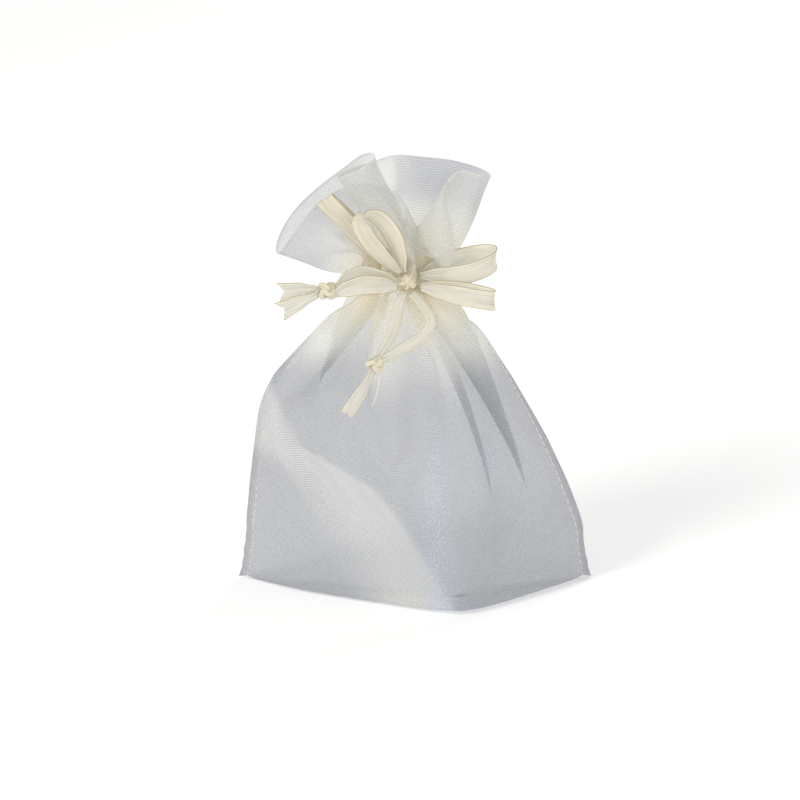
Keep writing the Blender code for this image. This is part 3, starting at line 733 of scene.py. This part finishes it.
def relax(P, inv, du, dv, shear, bend, do_bend):
    """One pass over the cloth's stretch, shear and bending distances; columns wrap round."""
    rows, cols = P.shape[:2]
    pull(P[:, 0::2], P[:, 1::2], inv[:, 0::2], inv[:, 1::2], du, 0.95)
    pull(P[:, 1:-1:2], P[:, 2::2], inv[:, 1:-1:2], inv[:, 2::2], du, 0.95)
    pull(P[:, -1], P[:, 0], inv[:, -1], inv[:, 0], du, 0.95)
    diag = math.hypot(du, dv)
    for st in (0, 1):
        n = len(range(st, rows - 1, 2))
        ra, rb = slice(st, rows - 1, 2), slice(st + 1, st + 2 * n, 2)
        pull(P[ra], P[rb], inv[ra], inv[rb], dv, 0.95)
        for ca, cb in ((slice(0, None, 2), slice(1, None, 2)),
                       (slice(1, -1, 2), slice(2, None, 2))):
            pull(P[ra, ca], P[rb, cb], inv[ra, ca], inv[rb, cb], diag, shear)
            pull(P[ra, cb], P[rb, ca], inv[ra, cb], inv[rb, ca], diag, shear)
        pull(P[ra, -1], P[rb, 0], inv[ra, -1], inv[rb, 0], diag, shear)
        pull(P[ra, 0], P[rb, -1], inv[ra, 0], inv[rb, -1], diag, shear)
    if not do_bend:
        return
    for skip, k in ((2, bend), (5, bend * 0.6)):
        for axis, size, step in ((1, cols, du), (0, rows, dv)):
            for first in range(2 * skip):
                n = len(range(first, size - skip, 2 * skip))
                if n == 0:
                    continue
                a = slice(first, size - skip, 2 * skip)
                b = slice(first + skip, first + skip + 2 * skip * (n - 1) + 1, 2 * skip)
                ia, ib = ((slice(None), a), (slice(None), b)) if axis else (a, b)
                pull(P[ia], P[ib], inv[ia], inv[ib], skip * step, k)
        for j in range(skip):
            pull(P[:, cols - skip + j], P[:, j], inv[:, cols - skip + j], inv[:, j], skip * du, k)


def normals(P):
    """The way out of the cloth at each of its points."""
    across = np.roll(P, -1, 1) - np.roll(P, 1, 1)
    up = np.empty_like(P)
    up[1:-1] = P[2:] - P[:-2]
    up[0] = P[1] - P[0]
    up[-1] = P[-1] - P[-2]
    n = np.cross(across, up)
    return n / (np.linalg.norm(n, axis=2, keepdims=True) + 1e-12)


def edge_targets(edge):
    """Evenly spaced points of a side seam, floor to casing."""
    pts = np.stack([edge[:, 1], 8.5 * (1 - edge[:, 0] / 89.0), edge[:, 0]], 1) * MM
    seg = np.linalg.norm(np.diff(pts, axis=0), axis=1)
    s = np.concatenate([[0], np.cumsum(seg)])
    t = np.linspace(0, s[-1], ROWS)
    return np.stack([np.interp(t, s, pts[:, i]) for i in range(3)], 1)


def sew(P):
    """Hold the front and back together along the bottom and both side seams."""
    middle = 0.5 * (P[0, 1:HALF] + P[0, COLUMNS - 1:HALF:-1])
    P[0, 1:HALF] = middle
    P[0, COLUMNS - 1:HALF:-1] = middle
    for k in range(1, SEWN + 1):
        for a, b in ((k, COLUMNS - k), (HALF - k, HALF + k)):
            middle = 0.5 * (P[:-2, a] + P[:-2, b])
            P[:-2, a] = middle
            P[:-2, b] = middle


def resample(pts, count):
    """Evenly spaced points along a line of points."""
    seg = np.linalg.norm(np.diff(pts, axis=0), axis=1)
    s = np.concatenate([[0], np.cumsum(seg)])
    t = np.linspace(0, s[-1], count)
    return np.stack([np.interp(t, s, pts[:, i]) for i in range(3)], 1)


def nearest_points(P, ridge):
    """Rows and columns of the front's points that are nearest to a crease, and their places."""
    length = np.linalg.norm(np.diff(ridge, axis=0), axis=1).sum()
    places = resample(ridge * MM, int(length / RIDGE_STEP))
    front = P[2:-2, 2:HALF - 2]
    rows, columns = [], []
    for place in places:
        d = (front[:, :, 0] - place[0]) ** 2 + (front[:, :, 2] - place[2]) ** 2
        j, i = np.unravel_index(np.argmin(d), d.shape)
        rows.append(j + 2)
        columns.append(i + 2)
    return np.array(rows), np.array(columns), places


def flat_tube():
    """The bag's cloth laid flat: a tube from the bottom seam up to the casing."""
    s = np.arange(COLUMNS) / COLUMNS
    P = np.zeros((ROWS, COLUMNS, 3))
    P[:, :, 0] = np.where(s < 0.5, -SHEET_WIDTH / 2 + 2 * SHEET_WIDTH * s,
                          SHEET_WIDTH / 2 - 2 * SHEET_WIDTH * (s - 0.5))
    P[:, :, 1] = np.where(s < 0.5, -1, 1) * 2 * MM * np.abs(np.sin(2 * np.pi * s))
    P[:, :, 2] = (np.arange(ROWS) * DV)[:, None]
    return P


def floor_fold():
    """The front's fold along the floor: the row and place of it in each of the front's columns."""
    cols = np.arange(1, HALF)
    fold_x = np.interp(cols, [0, APEX, HALF], [FOLD[0, 0], FOLD_APEX_X, FOLD[-1, 0]])
    fold_y = np.interp(fold_x, FOLD[:, 0], FOLD[:, 1])
    places = np.stack([fold_x, fold_y, np.full_like(fold_x, FLOOR_LIFT)], 1) * MM
    arch = np.sin(np.pi * np.interp(cols, [0, APEX, HALF], [0, .5, 1])) ** 0.8
    rows = np.clip(np.round(FOLD_ROWS * arch + 0.6), 1, FOLD_ROWS + 1).astype(int)
    return rows, cols, places


def shape_front(P, guides):
    """Draw the front's two creases out and let the cloth between them sink in."""
    for (rows, columns, places), strength in zip(guides, (0.35, 0.25)):
        P[rows, columns] += strength * (places - P[rows, columns])
    q = P[1:-1, :HALF]
    for x, z, wx, wz, depth, force in HOLLOWS:
        w = np.exp(-((q[:, :, 0] / MM - x) / wx) ** 2 - ((q[:, :, 2] / MM - z) / wz) ** 2)
        q[:, :, 1] += force * w * np.maximum(0, depth * MM - q[:, :, 1])


def hold_floor(P, fold, opened):
    """Hold the floor fold and the bottom seam in their places, as far as the bag is opened."""
    rows, cols, places = fold
    P[rows, cols] += 0.55 * opened * (places - P[rows, cols])
    P[0, APEX] += 0.4 * opened * (np.array([FOLD_APEX_X, SEAM_APEX_Y, FLOOR_LIFT]) * MM
                                  - P[0, APEX])
    P[0, COLUMNS - APEX] = P[0, APEX]
    P[0, :, 2] += 0.6 * opened * (FLOOR_LIFT * MM - P[0, :, 2])


def carried_on(P, before, most):
    """The speed that the next step starts with, at most so far in a step."""
    V = P - before
    speed = np.linalg.norm(V, axis=2, keepdims=True)
    V *= np.minimum(1, most / (speed + 1e-12))
    return V


def drape_bag(steps=300, passes=12, seed=4, pressure=1.2e-5):
    """The bag's cloth: a flat sewn tube, gathered at the neck, opened and stood on its floor."""
    P = flat_tube()
    ring = ring_plan(seed=seed)
    flat_ring = P[-1, :, :2].copy()
    left, right = edge_targets(LEFT_EDGE), edge_targets(RIGHT_EDGE)
    corner_left = np.array([-SHEET_WIDTH / 2, 0, 0])
    corner_right = np.array([SHEET_WIDTH / 2, 0, 0])
    fold = floor_fold()
    inv = np.ones((ROWS, COLUMNS))
    inv[-1] = 0
    inv[0, 0] = inv[0, HALF] = 0
    V = np.zeros_like(P)
    rng = np.random.default_rng(seed)
    P[1:-1] += rng.normal(0, 0.2 * MM, P[1:-1].shape)
    guides = None
    for step in range(steps):
        f = step / steps
        gather = ease(0.0, 0.45, f)
        opened = ease(0.0, 0.5, f)
        slack = ease(0.45, 0.65, f)
        late = ease(0.75, 0.95, f)
        P[-1, :, :2] = flat_ring * (1 - gather) + ring * gather
        P[-1, :, 2] = BODY * (1 - gather) + CASING_LOW * gather
        P[0, 0] = (1 - opened) * corner_left + opened * left[0]
        P[0, HALF] = (1 - opened) * corner_right + opened * right[0]
        before = P.copy()
        V *= 0.90
        P += V
        P[1:-1, :, 2] -= FALL
        push = np.where(np.arange(COLUMNS) < HALF, 1 - 1.35 * slack, 1 - 0.75 * slack)
        P[1:-1] += normals(P)[1:-1] * (pressure * push * (1 - 0.6 * late))[None, :, None]
        hold = 0.25 + 0.4 * slack
        P[1:-1, 0] += hold * opened * (left[1:-1] - P[1:-1, 0])
        P[1:-1, HALF] += hold * opened * (right[1:-1] - P[1:-1, HALF])
        hold_floor(P, fold, opened)
        if f > 0.42:
            if guides is None:
                guides = [nearest_points(P, ridge) for ridge in (LEFT_RIDGE, RIGHT_RIDGE)]
            shape_front(P, guides)
        for k in range(passes):
            relax(P, inv, DU, DV, 0.22, 0.12, k % 3 == 0)
            sew(P)
            P[:, :, 2] = np.maximum(P[:, :, 2], FLOOR_LIFT * MM)
        V = carried_on(P, before, 1.5 * MM)
    return P


FRONT_LIP = np.array([(-39.5, -9, 103), (-31, -9, 112), (-20, -7.2, 119.6), (-12, -6.4, 120.6),
                      (-6.5, -6, 118.5), (-4.3, -6, 114.3), (-1.5, -6.5, 102), (2, -6.5, 102),
                      (7.6, -2, 118.4), (17, 1, 122.5), (22.1, 2, 121.9)])
BACK_LIP = np.array([(-39.5, -9, 103), (-36, -3, 106.5), (-31, 2, 112), (-25.7, 5, 117.3),
                     (-17.6, 7, 122), (-8.6, 8, 125), (-23, 9, 115.5), (-6, 11, 122.5),
                     (4, 9, 122.4), (17, 7, 123.7), (22.1, 2, 121.9)])


def drape_ruffle(ring, steps=160, passes=8, seed=7):
    """The ruffle's cloth: fans out from the pleated neck to its folded lip."""
    rows = 26
    dv = RUFFLE / (rows - 1)
    front = resample(FRONT_LIP * MM, HALF + 1)
    back = resample(BACK_LIP * MM, HALF + 1)
    lip = np.concatenate([front, back[-2:0:-1]])
    foot = np.stack([ring[:, 0], ring[:, 1], np.full(COLUMNS, CASING_HIGH)], 1)
    u = np.linspace(0, 1, rows)[:, None, None]
    P = foot[None] * (1 - u) + lip[None] * u
    rng = np.random.default_rng(seed)
    P[2:] += rng.normal(0, 0.15 * MM, P[2:].shape)
    inv = np.ones((rows, COLUMNS))
    inv[0] = 0
    V = np.zeros_like(P)
    for step in range(steps):
        f = step / steps
        hold = 0.30 * (1 - ease(0.6, 1.0, f)) + 0.04
        before = P.copy()
        V *= 0.85
        P += V
        P[-1] += hold * (lip - P[-1])
        for k in range(passes):
            relax(P, inv, DU, dv, 0.2, 0.15, k % 2 == 0)
        V = carried_on(P, before, 1.0 * MM)
    return P


def left_facet_painted_light(grid):
    """Painted light: 1 on the front's lower left facet, which catches the light, to 0 past its crease.
    """
    x, z = grid[:, :, 0] / MM, grid[:, :, 2] / MM
    crease_x = np.interp(z, LEFT_RIDGE[:, 2], LEFT_RIDGE[:, 0])
    inside = ease(-1.0, 3.5, crease_x - x) * (1 - 0.8 * ease(12, 34, crease_x - x))
    return inside * (np.arange(grid.shape[1]) < HALF)[None, :] * (1 - ease(58, 66, z))


def cloth_mesh(name, P, v_start, dv, gather, hem, mat):
    """A tube of cloth from its grid of points, subdivided once, with its flat coordinates."""
    rows, cols = P.shape[:2]
    faces = []
    corner_uv = []
    for j in range(rows - 1):
        for i in range(cols):
            k = (i + 1) % cols
            faces.append((j * cols + i, j * cols + k, (j + 1) * cols + k, (j + 1) * cols + i))
            low, high = v_start + j * dv, v_start + (j + 1) * dv
            corner_uv += [(i * DU, low), ((i + 1) * DU, low), ((i + 1) * DU, high), (i * DU, high)]
    mesh = bpy.data.meshes.new(name)
    mesh.from_pydata(P.reshape(-1, 3).tolist(), [], faces)
    mesh.uv_layers.new(name="flat").data.foreach_set("uv", np.array(corner_uv).ravel())
    for attribute, values in (("gather", gather), ("hem", hem)):
        layer = mesh.attributes.new(attribute, "FLOAT", "POINT")
        layer.data.foreach_set("value", values.astype(np.float32).ravel())
    mesh.shade_smooth()
    mesh.materials.append(mat)
    obj = link(bpy.data.objects.new(name, mesh))
    modifier = obj.modifiers.new("smooth", "SUBSURF")
    modifier.levels = modifier.render_levels = 1
    modifier.boundary_smooth = "PRESERVE_CORNERS"
    graph = bpy.context.evaluated_depsgraph_get()
    final = bpy.data.meshes.new_from_object(obj.evaluated_get(graph))
    obj.modifiers.clear()
    obj.data = final
    final.name = name
    final.materials.clear()
    final.materials.append(mat)
    return obj


def stitch_row(name, route, mat):
    """A row of sewn stitches along a line of points: short threads with gaps between them."""
    total = route_length(route)
    count = int(total / STITCH_PITCH)
    fine = resample(np.array([tuple(p) for p in route]), count * 4 + 1)
    parts = []
    for n in range(count):
        start = n * 4
        bits = [Vector(p) for p in fine[start:start + 4]]
        parts.append(tube(bits, STITCH_RADIUS, 6))
    verts, faces = join_parts(parts)
    obj = mesh_object(name, verts, faces, mat)
    return obj


def seams(P, ring, mat):
    """Stitching down both sides, along the bottom and along both edges of the casing."""
    top = int(STITCHED_SHARE * ROWS)
    pieces = []
    for name, column in (("left", SEWN), ("right", HALF - SEWN)):
        route = [Vector(p) for p in P[1:top, column]]
        pieces.append(stitch_row(f"stitches_{name}_side", route, mat))
    bottom = [Vector(p) for p in P[1, 3:HALF - 2]]
    pieces.append(stitch_row("stitches_bottom", bottom, mat))
    for obj in pieces:
        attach(obj, "pouch")
    out = ring - np.array([NECK.x, NECK.y])
    out = out * (1 + STITCH_PROUD / np.linalg.norm(out, axis=1, keepdims=True))
    for name, height in (("lower", CASING_LOW + STITCH_INSET),
                         ("upper", CASING_HIGH - STITCH_INSET)):
        route = [Vector((NECK.x + x, NECK.y + y, height)) for x, y in np.vstack([out, out[:1]])]
        obj = stitch_row(f"stitches_casing_{name}", route, mat)
        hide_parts(f"casing_stitching_{name}")
        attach(obj, "neck")


def drawstring_bands(mat):
    """The two drawstrings inside the casing, each nearly all the way round."""
    for side, start, inset in (("right", 12, 2.9), ("left", 192, 3.7)):
        points = []
        for n in range(30):
            angle = math.radians(start + DRAWSTRING_WRAP * n / 29)
            points.append(Vector((NECK.x + (NECK_HALF.x - inset * MM) * math.cos(angle),
                                  NECK.y + (NECK_HALF.y - inset * MM) * math.sin(angle),
                                  (CASING_LOW + CASING_HIGH) / 2)))
        obj, _ = ribbon(f"drawstring_{side}", points, upright(), [5.2 * MM, 5.2 * MM], mat, 90,
                        (0, 0), (0.0, 0.0), 0.0, 0.3, 12)
        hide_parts(f"drawstring_run_{side}")
        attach(obj, "neck")


def bag_piece(P, ring, mat):
    """The bag with its casing, one sewn tube that bends where the neck meets the pouch."""
    levels = np.linspace(CASING_LOW, CASING_HIGH, CASING_ROWS + 1)[1:]
    casing = np.stack([np.stack([ring[:, 0], ring[:, 1], np.full(COLUMNS, z)], 1) for z in levels])
    grid = np.concatenate([P, casing])
    height = np.concatenate([np.arange(ROWS) * DV, BODY + (levels - CASING_LOW)])
    # Creamier towards the casing: partly the denser gathered cloth, partly painted light in the shaded
    # neck.
    gather = ease(0.062, 0.104, height)[:, None] * np.ones((1, COLUMNS))
    # Painted light: the lower left facet that catches the light is made creamier through the gather
    # attribute.
    gather = np.maximum(gather, 0.36 * left_facet_painted_light(grid))
    hem = np.zeros((len(grid), COLUMNS))
    hem[:, [0, 1, COLUMNS - 1, HALF - 1, HALF, HALF + 1]] = 0.4
    bag = cloth_mesh("bag_cloth", grid, 0.0, DV, gather, hem, mat)
    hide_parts("front_panel", "back_panel", "left_side_seam", "right_side_seam",
                "bottom_seam", "casing_outer", "casing_inner")
    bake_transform(bag)


def ruffle_piece(R, mat):
    """The ruffle, a tube too: creamier at its foot, in each front lobe and along its back fold, partly
    from the layered cloth and partly painted light on folds in shade; sheerest at the back.
    """
    rise = np.linspace(0, 1, len(R))
    front = np.arange(COLUMNS) < HALF
    across = np.arange(COLUMNS) / HALF
    right_back = ~front & (across < 1.28)
    folded = (across >= 1.28) & (across < 1.60)
    # Partly the layered, gathered cloth and partly painted light: the foot, the front lobes and the
    # back fold are made creamier to lift folds that lie in shade.
    lobe_cream_and_painted_light = (0.16 + 0.36 * across) * front + 0.48 * folded + 0.18 * (across >= 1.60)
    lobe_cream_and_painted_light = np.convolve(np.concatenate([lobe_cream_and_painted_light[-6:], lobe_cream_and_painted_light, lobe_cream_and_painted_light[:6]]), np.ones(13) / 13, "valid")
    gather = np.maximum((1 - ease(0.10, 0.85, rise))[:, None], lobe_cream_and_painted_light[None, :])
    hem = np.zeros(R.shape[:2]) + 0.75 * right_back
    hem[-1] = 0.8
    hem[:, [0, HALF]] = 0.5
    ruffle = cloth_mesh("ruffle_cloth", R, BODY + CASING, RUFFLE / (len(R) - 1), gather, hem, mat)
    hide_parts("ruffle_front", "ruffle_back", "ruffle_left_seam", "ruffle_right_seam")
    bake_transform(ruffle)


def cloth(thread_mat):
    """The bag, its stitching and the ruffle above it."""
    mat = organza()
    bag_steps, ruffle_steps = ((300, 160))
    P = drape_bag(bag_steps)
    ring = ring_plan()
    bag_piece(P, ring, mat)
    seams(P, ring, thread_mat)
    ruffle_piece(drape_ruffle(ring, ruffle_steps), mat)


# ---------------------------------------------------------------- the whole
set_camera()
set_stage()
ribbon_mat = ribbon_cloth()
pale_mat = ribbon_cloth("ribbon_pale", 0.82, (0.66, 0.63, 0.53), (0.98, 0.96, 0.88))
# The knots' ribbon: denser where bunched, and brightened to cream as painted light that lifts the
# knots out of the loops' shade.
knot_painted_light_mat = ribbon_cloth("ribbon_knotted_painted_light", 0.95, (1.0, 0.88, 0.66), (1.0, 0.97, 0.84))
thread_mat = thread_cloth()
tails(pale_mat, knot_painted_light_mat)
bow(ribbon_mat, pale_mat, knot_painted_light_mat)
leads(ribbon_mat)
drawstring_bands(ribbon_mat)
cloth(thread_mat)
